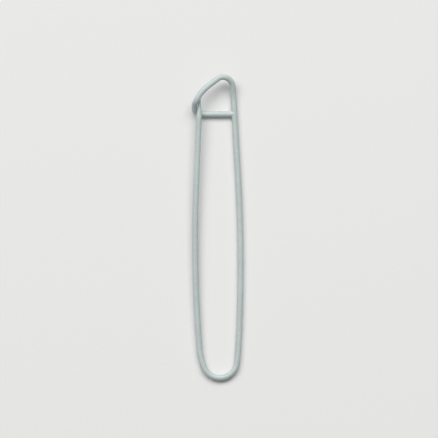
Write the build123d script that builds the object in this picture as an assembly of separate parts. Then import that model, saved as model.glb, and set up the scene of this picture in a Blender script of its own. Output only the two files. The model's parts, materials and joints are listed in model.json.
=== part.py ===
from build123d import *
import math
import os

# Stitch holder: one length of enamelled spring wire, bent like a long safety pin.
# It lies flat on its spine: X runs across it, Y along it towards the head, Z up off the table.
# Lengths are in millimetres, and angles in degrees.

# Wire
wire_diameter = 2.1
wire_radius = wire_diameter / 2

# Spring bend, measured on the wire's centreline
bend_radius = 6.28
bend_needle_turn = 70.0
bend_spine_turn = 83.0

# Needle, from the spring bend to its point
needle_root_radius = 28.0
needle_root_turn = 15.6
needle_bow_radius = 499.0
needle_bow_turn = 6.7
point_taper_length = 7.3
point_shoulder_length = 0.7
point_nose_radius = 0.33

# Spine, from the spring bend to the head
spine_root_radius = 90.0
spine_root_turn = 4.1
spine_bow_radius = 572.0
spine_bow_turn = 6.1

# Head, with its places measured along the holder from the crossbar's centreline
bar_station = 96.0
needle_tip_rise = 5.86
spine_end_rise = 4.1
head_rise = 12.64
crown_length = 4.28
crown_rise = 1.05
climb_rise = 6.2
shoulder_lift_share = 0.5
crown_lift_share = 0.85
cover_rise = 8.32
cover_offset = 0.58

# Catch: how the wire goes round the needle
behind_clearance = 0.25
front_clearance = 0.6
side_clearance = 0.15
hook_rise = 3.47
hook_side_lift = 0.6
cover_end_share = 0.72

# Bends of the head and the catch, each by the share of a run that it takes from its corner
climb_bend_share = 0.9
shoulder_bend_share = 0.63
crown_bend_share = 0.34
cover_bend_share = 0.93
entry_bend_share = 0.43
side_bend_share = 0.5
turn_bend_share = 0.6

# Where the catch hands over to the crossbar, as a share of the run down its side
hook_tail_share = 0.7

# Joint between the crossbar and the spine
weld_radius = 0.6
weld_height = 1.3


def wire_along(edges):
    """One solid stretch of wire along centreline edges that follow on smoothly."""
    pieces = []
    for edge in edges:
        section = Plane(origin=edge @ 0, z_dir=edge % 0) * Circle(wire_radius)
        pieces.append(sweep(section, path=edge))
    stretch = pieces[0]
    for piece in pieces[1:]:
        stretch = stretch + piece
    return stretch


def bend_on(before, radius, turn):
    """An arc that carries on from the end of the edge before it."""
    return JernArc(start=before @ 1, tangent=before % 1, radius=radius, arc_size=turn)


def along_to(start, direction, y):
    """The point where a straight line reaches a given distance along the holder."""
    return start + direction * ((y - start.Y) / direction.Y)


def radius_of_bend(before, corner, after, set_back):
    """The radius of a bend that starts a given distance before its corner."""
    turn = (corner - before).get_angle(after - corner)
    return set_back / math.tan(math.radians(turn) / 2)


# Lower wire. Both halves start where the spring bend runs straight across, at its lowest place.
bend_bottom = Vector(0, 0, wire_radius)
needle_height = wire_diameter + behind_clearance
needle_climb = math.degrees(math.atan2(needle_height, bar_station))
spine_plane = Plane(origin=bend_bottom)
needle_plane = spine_plane.rotated((needle_climb, 0, 0))

flat_spine_side = JernArc(start=(0, 0), tangent=(1, 0), radius=bend_radius, arc_size=bend_spine_turn)
flat_spine_root = bend_on(flat_spine_side, spine_root_radius, spine_root_turn)
flat_spine_bow = bend_on(flat_spine_root, spine_bow_radius, spine_bow_turn)
spine_side = spine_plane * flat_spine_side
spine_root = spine_plane * flat_spine_root
spine_bow = spine_plane * flat_spine_bow

flat_needle_side = JernArc(start=(0, 0), tangent=(-1, 0), radius=bend_radius, arc_size=-bend_needle_turn)
flat_needle_root = bend_on(flat_needle_side, needle_root_radius, -needle_root_turn)
flat_needle_bow = bend_on(flat_needle_root, needle_bow_radius, -needle_bow_turn)
needle_side = needle_plane * flat_needle_side
needle_root = needle_plane * flat_needle_root
needle_bow = needle_plane * flat_needle_bow

# Needle point: a cone with a rounded shoulder and nose. Its lean is the angle of its flank.
point_cone_start = point_shoulder_length / 2
point_lean = math.atan2(wire_radius - point_nose_radius, point_taper_length - point_cone_start)
shoulder_round = point_cone_start / math.tan(point_lean / 2)
nose_length = point_nose_radius * (1 - math.sin(point_lean)) / math.cos(point_lean)
point_length = point_taper_length + nose_length

# Needle front: straight, so that it takes a round fitting, and ending in the point.
front_start = needle_bow @ 1
needle_direction = needle_bow % 1
needle_tip = along_to(front_start, needle_direction, bar_station + needle_tip_rise)
point_base = needle_tip - needle_direction * point_length


def point_radius_at(distance):
    """The radius of the needle point's cone at a distance from its base."""
    return wire_radius - (distance - point_cone_start) * math.tan(point_lean)


# Head: corners of the wire's route. It climbs above the crossbar, goes over the crown and down across the point.
spine_direction = spine_bow % 1
spine_end = along_to(spine_bow @ 1, spine_direction, bar_station + spine_end_rise)
cover_height = needle_tip.Z + point_nose_radius + wire_radius + front_clearance
cover_lift = cover_height - wire_radius
climb_corner = along_to(spine_end, spine_direction, bar_station + climb_rise)
shoulder_foot = along_to(spine_end, spine_direction, bar_station + head_rise)
shoulder_corner = shoulder_foot + Vector(0, 0, cover_lift * shoulder_lift_share)
crown_corner = shoulder_foot + Vector(-crown_length, crown_rise, cover_lift * crown_lift_share)
climb_run = (climb_corner - spine_end).length
crown_run = (crown_corner - shoulder_corner).length
needle_at_cover = along_to(point_base, needle_direction, bar_station + cover_rise)
cover_corner = Vector(needle_at_cover.X + cover_offset, needle_at_cover.Y, cover_height)

# Catch: corners of the route that goes down the needle's left side and back behind it.
hook_lift = needle_height + hook_side_lift
passing_station = bar_station + hook_rise * needle_height / hook_lift
needle_at_hook = along_to(point_base, needle_direction, passing_station)
point_radius_at_hook = point_radius_at((needle_at_hook - point_base).length)
hook_x = needle_at_hook.X - point_radius_at_hook - side_clearance - wire_radius
hook_side_corner = Vector(hook_x, bar_station + hook_rise, wire_radius + hook_lift)
hook_turn_corner = Vector(hook_x, bar_station, wire_radius)
cover_run = Vector(hook_side_corner.X, hook_side_corner.Y, cover_height) - cover_corner
cover_end_corner = cover_corner + cover_run * cover_end_share
level_run = (cover_end_corner - cover_corner).length
down_run = (hook_side_corner - cover_end_corner).length
side_run = (hook_turn_corner - hook_side_corner).length
bar_start = hook_turn_corner + Vector(side_run * hook_tail_share, 0, 0)
bar_end = along_to(spine_end, spine_direction, bar_station)

# The head bow hands over to the catch half-way between its last bend and the catch's first.
entry_set_back = down_run * entry_bend_share
cover_set_back = (level_run - entry_set_back) * cover_bend_share
hook_start_length = (cover_set_back + level_run - entry_set_back) / 2
hook_start = cover_corner + cover_run.normalized() * hook_start_length

climb_radius = radius_of_bend(spine_end, climb_corner, shoulder_corner, climb_run * climb_bend_share)
shoulder_radius = radius_of_bend(
    climb_corner, shoulder_corner, crown_corner, crown_run * shoulder_bend_share
)
crown_radius = radius_of_bend(
    shoulder_corner, crown_corner, cover_corner, crown_run * crown_bend_share
)
cover_radius = radius_of_bend(crown_corner, cover_corner, cover_end_corner, cover_set_back)
entry_radius = radius_of_bend(cover_corner, cover_end_corner, hook_side_corner, entry_set_back)
side_radius = radius_of_bend(
    cover_end_corner, hook_side_corner, hook_turn_corner, down_run * side_bend_share
)
turn_radius = radius_of_bend(
    hook_side_corner, hook_turn_corner, bar_start, side_run * turn_bend_share
)

head_route = FilletPolyline(
    spine_end,
    climb_corner,
    shoulder_corner,
    crown_corner,
    cover_corner,
    hook_start,
    radius=[climb_radius, shoulder_radius, crown_radius, cover_radius],
)
hook_route = FilletPolyline(
    hook_start,
    cover_end_corner,
    hook_side_corner,
    hook_turn_corner,
    bar_start,
    radius=[entry_radius, side_radius, turn_radius],
)


def make_spring_bend():
    """The U that flexes: its two halves meet at the lowest place."""
    return wire_along([needle_side, spine_side])


def make_needle_point():
    """The tapered end, turned about the needle's own line."""
    base = Line((0, 0), (wire_radius, 0))
    shoulder = JernArc(
        start=base @ 1, tangent=(0, 1), radius=shoulder_round, arc_size=math.degrees(point_lean)
    )
    flank = Line(shoulder @ 1, (point_nose_radius, point_taper_length))
    nose = TangentArc(flank @ 1, (0, point_length), tangent=flank % 1)
    axis_line = Line((0, point_length), (0, 0))
    outline = make_face(Plane.XZ * Wire([base, shoulder, flank, nose, axis_line]))
    return Plane(origin=point_base, z_dir=needle_direction) * revolve(outline, Axis.Z)


def make_spine():
    """The right leg, with its straight upper end that carries the crossbar."""
    return wire_along([spine_root, spine_bow, Line(spine_bow @ 1, spine_end)])


def make_crossbar(spine):
    """The bar behind the needle, its end shaped to sit against the spine."""
    return wire_along([Line(bar_start, bar_end)]) - spine


def make_weld_bead(spine, crossbar):
    """Two small beads in the corners between the crossbar and the spine."""
    corner = bar_end - Vector(wire_radius, 0, 0)
    beads = []
    for side in (-1, 1):
        bead = Pos(corner + Vector(0, side * wire_radius, 0)) * Cylinder(weld_radius, weld_height)
        beads += (bead - spine - crossbar).solids()
    return Compound(beads)


spine = make_spine()
crossbar = make_crossbar(spine)
nodes = {
    "spring_bend": make_spring_bend(),
    "needle_root": wire_along([needle_root]),
    "needle_shaft": wire_along([needle_bow, Line(front_start, point_base)]),
    "needle_point": make_needle_point(),
    "spine": spine,
    "head_bow": wire_along(head_route.edges()),
    "catch_hook": wire_along(hook_route.edges()),
    "crossbar": crossbar,
    "weld_bead": make_weld_bead(spine, crossbar),
}

# The origin goes to the middle of the holder's outline, on the table.
box = Compound([solid for node in nodes.values() for solid in node.solids()]).bounding_box()
to_origin = Pos(-box.center().X, -box.center().Y, -box.min.Z)

os.makedirs("parts", exist_ok=True)
for name, solid in nodes.items():
    export_step(to_origin * solid, f"parts/{name}.step")
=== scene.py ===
import json
import math

import bmesh
import bpy
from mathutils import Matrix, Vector


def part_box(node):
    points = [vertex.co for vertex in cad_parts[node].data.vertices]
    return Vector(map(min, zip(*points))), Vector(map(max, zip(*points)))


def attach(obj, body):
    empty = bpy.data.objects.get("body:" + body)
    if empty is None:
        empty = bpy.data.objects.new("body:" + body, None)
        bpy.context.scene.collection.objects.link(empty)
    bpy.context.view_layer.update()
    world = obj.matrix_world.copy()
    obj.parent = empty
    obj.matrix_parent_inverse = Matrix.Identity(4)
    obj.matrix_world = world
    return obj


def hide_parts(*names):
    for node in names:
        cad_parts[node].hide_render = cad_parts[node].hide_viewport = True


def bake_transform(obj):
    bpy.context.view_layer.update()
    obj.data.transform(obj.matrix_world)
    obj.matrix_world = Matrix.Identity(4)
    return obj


# Stitch holder lying flat on a pale table, seen from straight above.
# Lengths are in metres and angles in radians.
# X runs across the holder, Y along it to the head, Z up.

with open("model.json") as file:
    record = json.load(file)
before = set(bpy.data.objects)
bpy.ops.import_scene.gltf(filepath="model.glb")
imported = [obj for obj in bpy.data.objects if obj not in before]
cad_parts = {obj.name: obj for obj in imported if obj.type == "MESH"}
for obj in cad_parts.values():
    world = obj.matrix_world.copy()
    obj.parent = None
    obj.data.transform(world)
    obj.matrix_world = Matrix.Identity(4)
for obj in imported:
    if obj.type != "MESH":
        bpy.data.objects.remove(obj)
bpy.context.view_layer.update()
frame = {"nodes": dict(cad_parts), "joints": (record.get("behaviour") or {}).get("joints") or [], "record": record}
MM = 0.001

# Facts read from the frame
mounts = {mount["name"]: mount for mount in frame["record"]["mounts"]}
wire_radius = mounts["needle_pin"]["dims"]["r_mm"] * MM
needle_line = Vector(mounts["needle_pin"]["axis"])
needle_climb = math.atan2(needle_line.z, needle_line.y)
flex_place = Vector(frame["joints"][0]["pos_m"])
tip_low, tip_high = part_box("needle_point")
hook_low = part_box("catch_hook")[0]
bar_low, bar_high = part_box("crossbar")

# Spring wire: the stretch that flexes, from the spine round the bend and up the needle's root
bend_radius = 6.28 * MM
bend_spine_turn = math.radians(83.0)
bend_needle_turn = math.radians(70.0)
root_radius = 28.0 * MM
root_turn = math.radians(15.6)
wire_sides = 48
station_step = 0.3 * MM

# Solder in the corners between the crossbar and the spine, which leans a little to the left
solder_leg = 0.6 * MM
solder_sink = 0.03 * MM
solder_root_depth = 0.35 * MM
solder_reach = math.radians(74.0)
solder_wobble_share = 0.12
solder_wobble_waves = 3
solder_rows = 28
solder_steps = 8
spine_lean = math.radians(3.2)

# Photograph: its frame, the size of a pixel on the table and the place at its middle
photo_pixels = 438
pixel_size = 0.364 * MM
photo_middle = Vector((0.566 * MM, 3.115 * MM, wire_radius))
camera_lens = 500.0
camera_sensor = 36.0


def new_object(name, mesh):
    """An object for a mesh, shown in the scene."""
    made = bpy.data.objects.new(name, mesh)
    bpy.context.scene.collection.objects.link(made)
    return made


def mesh_from(name, vertices, faces, flat_faces=()):
    """A smooth mesh from its vertices and faces, with its normals turned outwards."""
    mesh = bpy.data.meshes.new(name)
    mesh.from_pydata([tuple(vertex) for vertex in vertices], [], faces)
    for polygon in mesh.polygons:
        polygon.use_smooth = polygon.index not in flat_faces
    shaping = bmesh.new()
    shaping.from_mesh(mesh)
    bmesh.ops.recalc_face_normals(shaping, faces=shaping.faces)
    shaping.to_mesh(mesh)
    shaping.free()
    return mesh


def tube(name, stations, radius, sides):
    """A tube along stations, each a place and the wire's direction there, closed by two flat discs."""
    across = stations[0][1].orthogonal().normalized()
    direction = stations[0][1]
    vertices = []
    for place, next_direction in stations:
        across = direction.rotation_difference(next_direction) @ across
        direction = next_direction
        up = direction.cross(across)
        for side in range(sides):
            angle = math.tau * side / sides
            vertices.append(place + (across * math.cos(angle) + up * math.sin(angle)) * radius)
    faces = []
    for row in range(len(stations) - 1):
        for side in range(sides):
            beside = (side + 1) % sides
            low = row * sides
            faces.append((low + side, low + beside, low + sides + beside, low + sides + side))
    ends = (len(faces), len(faces) + 1)
    for ring in (vertices[:sides], vertices[-sides:]):
        faces.append(tuple(range(len(vertices), len(vertices) + sides)))
        vertices += ring
    return mesh_from(name, vertices, faces, ends)


def arc_stations(start, heading, radius, turn, climb):
    """Stations along an arc in the climbing plane. It turns left where its turn is positive."""
    steps = math.ceil(abs(turn) * radius / station_step)
    lean = math.copysign(1, turn)
    centre = start + Vector((-math.sin(heading), math.cos(heading))) * radius * lean
    found = []
    for step in range(steps + 1):
        facing = heading + turn * step / steps
        flat = centre + Vector((math.sin(facing), -math.cos(facing))) * radius * lean
        place = Vector((flat.x, flat.y * math.cos(climb), flat.y * math.sin(climb)))
        direction = Vector((math.cos(facing), math.sin(facing) * math.cos(climb)))
        found.append((place, direction.to_3d() + Vector((0, 0, math.sin(facing) * math.sin(climb)))))
    return found, flat


def make_spring_wire():
    """The flexing wire: both halves of the bend from its lowest place, and the needle's root."""
    bottom_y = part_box("spring_bend")[0].y + wire_radius
    bottom = Vector((flex_place.x + bend_radius * math.sin(bend_needle_turn), bottom_y, wire_radius))
    spine_half, _ = arc_stations(Vector((0, 0)), 0, bend_radius, bend_spine_turn, 0)
    needle_half, flex = arc_stations(
        Vector((0, 0)), math.pi, bend_radius, -bend_needle_turn, needle_climb
    )
    root, _ = arc_stations(flex, math.pi - bend_needle_turn, root_radius, -root_turn, needle_climb)
    backwards = [(place, -direction) for place, direction in reversed(spine_half)]
    route = backwards + needle_half[1:] + root[1:]
    stations = [(place + bottom, direction) for place, direction in route]
    wire = new_object("spring_wire", tube("spring_wire", stations, wire_radius, wire_sides))
    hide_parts("spring_bend", "needle_root")
    return wire, bottom, stations[-1][0]


def solder_section(side, angle, wobble):
    """One slice of the solder: its hollow face from the bar to the spine, and then its root."""
    bar_y = (bar_low.y + bar_high.y) / 2
    half_width = wire_radius * math.cos(angle)
    leg = solder_leg * math.cos(angle) * (1 + wobble)
    offset = Vector((0, side * half_width, wire_radius * math.sin(angle)))
    spine_x = bar_high.x - offset.y * math.tan(spine_lean)
    corner = Vector((spine_x - half_width / math.cos(spine_lean), bar_y, wire_radius)) + offset
    along_spine = Vector((-math.sin(spine_lean), math.cos(spine_lean), 0)) * side
    into_bar = -offset.normalized()
    into_spine = Vector((math.cos(angle), 0, -math.sin(angle)))
    bar_edge = corner - Vector((leg, 0, 0)) + into_bar * solder_sink
    spine_edge = corner + along_spine * leg + into_spine * solder_sink
    face = []
    for step in range(solder_steps + 1):
        share = step / solder_steps
        near = bar_edge.lerp(corner, share)
        far = corner.lerp(spine_edge, share)
        face.append(near.lerp(far, share))
    root = corner + (into_bar + into_spine) * solder_root_depth * math.cos(angle)
    return face + [root]


def make_solder():
    """Two small fillets, one on each side of the crossbar's end."""
    vertices = []
    faces = []
    ring = solder_steps + 2
    for side in (-1, 1):
        first = len(vertices)
        for row in range(solder_rows + 1):
            angle = solder_reach * (2 * row / solder_rows - 1)
            wave = math.sin(solder_wobble_waves * angle + side)
            wobble = solder_wobble_share * wave * math.cos(angle)
            vertices += solder_section(side, angle, wobble)
        for row in range(solder_rows):
            low = first + row * ring
            for step in range(ring):
                beside = (step + 1) % ring
                faces.append((low + step, low + beside, low + ring + beside, low + ring + step))
        faces.append(tuple(reversed(range(first, first + ring))))
        faces.append(tuple(range(len(vertices) - ring, len(vertices))))
    solder = new_object("solder_fillets", mesh_from("solder_fillets", vertices, faces))
    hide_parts("weld_bead")
    return solder


# Materials. The scales of their patterns are in cells to the metre.
noise_roughness_share = 0.5


def node_of(tree, kind, **settings):
    """A shader node with its properties set."""
    made = tree.nodes.new(kind)
    for name, value in settings.items():
        setattr(made, name, value)
    return made


def noise_of(tree, coordinates, scale, detail, roughness=noise_roughness_share):
    """A noise pattern's value over the piece."""
    noise = node_of(tree, "ShaderNodeTexNoise")
    noise.inputs["Scale"].default_value = scale
    noise.inputs["Detail"].default_value = detail
    noise.inputs["Roughness"].default_value = roughness
    tree.links.new(coordinates, noise.inputs["Vector"])
    return noise.outputs["Fac"]


def ranged(tree, value, from_low, from_high, to_low, to_high):
    """A value moved from one range to another, and held inside it."""
    change = node_of(tree, "ShaderNodeMapRange", interpolation_type="SMOOTHSTEP")
    change.inputs["From Min"].default_value = from_low
    change.inputs["From Max"].default_value = from_high
    change.inputs["To Min"].default_value = to_low
    change.inputs["To Max"].default_value = to_high
    tree.links.new(value, change.inputs["Value"])
    return change.outputs["Result"]


def combined(tree, operation, first, second):
    """Two values put together by a sum, a product or the like."""
    made = node_of(tree, "ShaderNodeMath", operation=operation)
    for socket, value in zip(made.inputs, (first, second)):
        if isinstance(value, (int, float)):
            socket.default_value = value
        else:
            tree.links.new(value, socket)
    return made.outputs["Value"]


def mixed_colour(tree, share, first, second):
    """A colour between two others, each a plain colour or a socket."""
    made = node_of(tree, "ShaderNodeMix", data_type="RGBA")
    inputs = {socket.identifier: socket for socket in made.inputs}
    tree.links.new(share, inputs["Factor_Float"])
    for socket, colour in ((inputs["A_Color"], first), (inputs["B_Color"], second)):
        if isinstance(colour, tuple):
            socket.default_value = (*colour, 1)
        else:
            tree.links.new(colour, socket)
    return next(socket for socket in made.outputs if socket.identifier == "Result_Color")


def near_place(tree, coordinates, place, inner, outer):
    """1 close to a place on the piece, falling to 0 further off."""
    reach = node_of(tree, "ShaderNodeVectorMath", operation="DISTANCE")
    reach.inputs[1].default_value = place
    tree.links.new(coordinates, reach.inputs[0])
    return ranged(tree, reach.outputs["Value"], inner, outer, 1, 0)


# Enamel: its colours, gloss and coat
enamel_pale = (0.475, 0.545, 0.535)
enamel_mid = (0.43, 0.495, 0.487)
enamel_ior = 1.5
enamel_gloss = 0.5
enamel_roughness = 0.42
enamel_roughness_spread = 0.12
coat_weight = 0.25
coat_roughness = 0.22

# Colour of the coat: broad tones with a fine mottle over them
tone_scale = 120.0
tone_detail = 3
mottle_scale = 900.0
mottle_detail = 2
mottle_range_shares = (0.3, 0.7)
tone_range_shares = (0.75, 1.25)

# Wear: a thinner, patchy coat at the needle's tip and where the needle rubs in the catch
enamel_thin = (0.29, 0.32, 0.315)
wear_scale = 1800.0
wear_detail = 3
wear_roughness_share = 0.7
wear_patch_shares = (0.42, 0.62)
wear_strength_share = 0.55
tip_wear_inner = 0.4 * MM
tip_wear_outer = 2.6 * MM
rub_wear_inner = 0.5 * MM
rub_wear_outer = 2.2 * MM
tip_wear_place = Vector(((tip_low.x + tip_high.x) / 2, tip_high.y, tip_high.z))
rub_wear_place = Vector((hook_low.x + wire_radius * 2, hook_low.y + wire_radius * 2, wire_radius * 2))

# Specks: rare, tiny and darker, in about a quarter of the cells of their pattern
enamel_speck = (0.16, 0.17, 0.165)
speck_scale = 520.0
speck_size_share = 0.09
speck_choice_shares = (0.72, 0.78)
speck_strength_share = 0.5

# Skin of the coat: a fine orange peel over slow waves, which are larger over the solder
peel_scale = 2300.0
peel_detail = 1
peel_height = 0.008 * MM
flow_scale = 260.0
flow_detail = 2
wire_flow_height = 0.03 * MM
joint_flow_height = 0.09 * MM


def enamel_colour(tree, coordinates, mottle):
    """The coat's colour: toned and mottled, thinner at the wear places, with rare specks."""
    tone = noise_of(tree, coordinates, tone_scale, tone_detail)
    tone_share = ranged(tree, combined(tree, "ADD", tone, mottle), *tone_range_shares, 0, 1)
    colour = mixed_colour(tree, tone_share, enamel_mid, enamel_pale)

    worn = near_place(tree, coordinates, tip_wear_place, tip_wear_inner, tip_wear_outer)
    rubbed = near_place(tree, coordinates, rub_wear_place, rub_wear_inner, rub_wear_outer)
    grain = noise_of(tree, coordinates, wear_scale, wear_detail, wear_roughness_share)
    patchy = ranged(tree, grain, *wear_patch_shares, 0, wear_strength_share)
    thin_share = combined(tree, "MULTIPLY", combined(tree, "MAXIMUM", worn, rubbed), patchy)
    colour = mixed_colour(tree, thin_share, colour, enamel_thin)

    specks = node_of(tree, "ShaderNodeTexVoronoi", feature="F1")
    specks.inputs["Scale"].default_value = speck_scale
    tree.links.new(coordinates, specks.inputs["Vector"])
    dots = ranged(tree, specks.outputs["Distance"], speck_size_share / 2, speck_size_share, 1, 0)
    chosen = ranged(tree, specks.outputs["Color"], *speck_choice_shares, 0, speck_strength_share)
    return mixed_colour(tree, combined(tree, "MULTIPLY", dots, chosen), colour, enamel_speck)


def enamel_bumps(tree, coordinates, flow_height):
    """The coat's skin: orange peel over slow waves."""
    peel_bump = node_of(tree, "ShaderNodeBump")
    peel_bump.inputs["Distance"].default_value = peel_height
    tree.links.new(noise_of(tree, coordinates, peel_scale, peel_detail), peel_bump.inputs["Height"])
    flow_bump = node_of(tree, "ShaderNodeBump")
    flow_bump.inputs["Distance"].default_value = flow_height
    tree.links.new(noise_of(tree, coordinates, flow_scale, flow_detail), flow_bump.inputs["Height"])
    tree.links.new(peel_bump.outputs["Normal"], flow_bump.inputs["Normal"])
    return flow_bump.outputs["Normal"]


def make_enamel(name, flow_height):
    """Pale grey enamel with a satin finish."""
    material = bpy.data.materials.new(name)
    material.use_nodes = True
    tree = material.node_tree
    shader = tree.nodes["Principled BSDF"]
    coordinates = node_of(tree, "ShaderNodeTexCoord").outputs["Object"]
    mottle = noise_of(tree, coordinates, mottle_scale, mottle_detail)
    smoothest = enamel_roughness - enamel_roughness_spread / 2
    roughest = enamel_roughness + enamel_roughness_spread / 2
    roughness = ranged(tree, mottle, *mottle_range_shares, smoothest, roughest)
    tree.links.new(enamel_colour(tree, coordinates, mottle), shader.inputs["Base Color"])
    tree.links.new(roughness, shader.inputs["Roughness"])
    tree.links.new(enamel_bumps(tree, coordinates, flow_height), shader.inputs["Normal"])
    shader.inputs["IOR"].default_value = enamel_ior
    shader.inputs["Specular IOR Level"].default_value = enamel_gloss
    shader.inputs["Coat Weight"].default_value = coat_weight
    shader.inputs["Coat Roughness"].default_value = coat_roughness
    return material


# Pieces
wire_enamel = make_enamel("wire_enamel_finish", wire_flow_height)
joint_enamel = make_enamel("joint_enamel_finish", joint_flow_height)

for name, node in frame["nodes"].items():
    finish = joint_enamel if name == "weld_bead" else wire_enamel
    for slot in node.material_slots:
        slot.material = finish

spring_wire, bend_bottom, root_end = make_spring_wire()
spring_wire.data.materials.append(wire_enamel)
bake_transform(spring_wire)

solder_fillets = make_solder()
solder_fillets.data.materials.append(joint_enamel)
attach(solder_fillets, "spine_and_catch")


# Stage: a pale table, a long strip light beyond the head, a little to its left, and an even sky
table_size = 6.0
table_colour = (0.80, 0.80, 0.79)
table_shade = (0.775, 0.775, 0.765)
table_roughness = 0.9
table_gloss = 0.1
table_grain_scale = 900.0
table_grain_detail = 3
strip_elevation = math.radians(50.0)
strip_side = math.radians(10.0)
strip_distance = 4.0
strip_length = 6.8
strip_depth = 2.2
strip_power = 228.0
sky_top = 0.32
sky_edge = 0.12
backdrop_colour = (0.90, 0.90, 0.89)


def make_table():
    """A matt table under the holder."""
    half = table_size / 2
    corners = [(-half, -half, 0), (half, -half, 0), (half, half, 0), (-half, half, 0)]
    table = new_object("table", mesh_from("table", corners, [(0, 1, 2, 3)], (0,)))
    material = bpy.data.materials.new("table_finish")
    material.use_nodes = True
    tree = material.node_tree
    shader = tree.nodes["Principled BSDF"]
    coordinates = node_of(tree, "ShaderNodeTexCoord").outputs["Object"]
    grain = noise_of(tree, coordinates, table_grain_scale, table_grain_detail)
    tree.links.new(mixed_colour(tree, grain, table_shade, table_colour), shader.inputs["Base Color"])
    shader.inputs["Roughness"].default_value = table_roughness
    shader.inputs["Specular IOR Level"].default_value = table_gloss
    table.data.materials.append(material)


def make_lights():
    """One strip light and a sky, brighter overhead. The camera and reflections see the backdrop."""
    strip = bpy.data.lights.new("strip", "AREA")
    strip.shape = "RECTANGLE"
    strip.size = strip_length
    strip.size_y = strip_depth
    strip.energy = strip_power
    lamp = bpy.data.objects.new("strip", strip)
    lamp.rotation_euler = (-(math.pi / 2 - strip_elevation), 0, strip_side)
    lamp.location = lamp.rotation_euler.to_matrix() @ Vector((0, 0, strip_distance))
    bpy.context.scene.collection.objects.link(lamp)

    world = bpy.data.worlds.new("sky")
    world.use_nodes = True
    bpy.context.scene.world = world
    tree = world.node_tree
    background = tree.nodes["Background"]
    direction = node_of(tree, "ShaderNodeTexCoord").outputs["Generated"]
    parts = node_of(tree, "ShaderNodeSeparateXYZ")
    tree.links.new(direction, parts.inputs["Vector"])
    glow = ranged(tree, parts.outputs["Z"], 0, 1, sky_edge, sky_top)
    rays = node_of(tree, "ShaderNodeLightPath").outputs
    looking = combined(tree, "MAXIMUM", rays["Is Camera Ray"], rays["Is Glossy Ray"])
    looking = combined(tree, "MAXIMUM", looking, rays["Is Transmission Ray"])
    sky_colour = node_of(tree, "ShaderNodeCombineColor")
    for channel in ("Red", "Green", "Blue"):
        tree.links.new(glow, sky_colour.inputs[channel])
    seen = mixed_colour(tree, looking, sky_colour.outputs["Color"], backdrop_colour)
    tree.links.new(seen, background.inputs["Color"])


def make_camera():
    """A long lens straight above, with the photograph's frame on the plane of the wire."""
    camera = bpy.data.cameras.new("camera")
    camera.lens = camera_lens
    camera.sensor_width = camera_sensor
    distance = photo_pixels * pixel_size * camera_lens / camera_sensor
    stand = bpy.data.objects.new("camera", camera)
    stand.location = photo_middle + Vector((0, 0, distance))
    bpy.context.scene.collection.objects.link(stand)
    bpy.context.scene.camera = stand


make_table()
make_lights()
make_camera()
bpy.context.scene.view_settings.view_transform = "Standard"
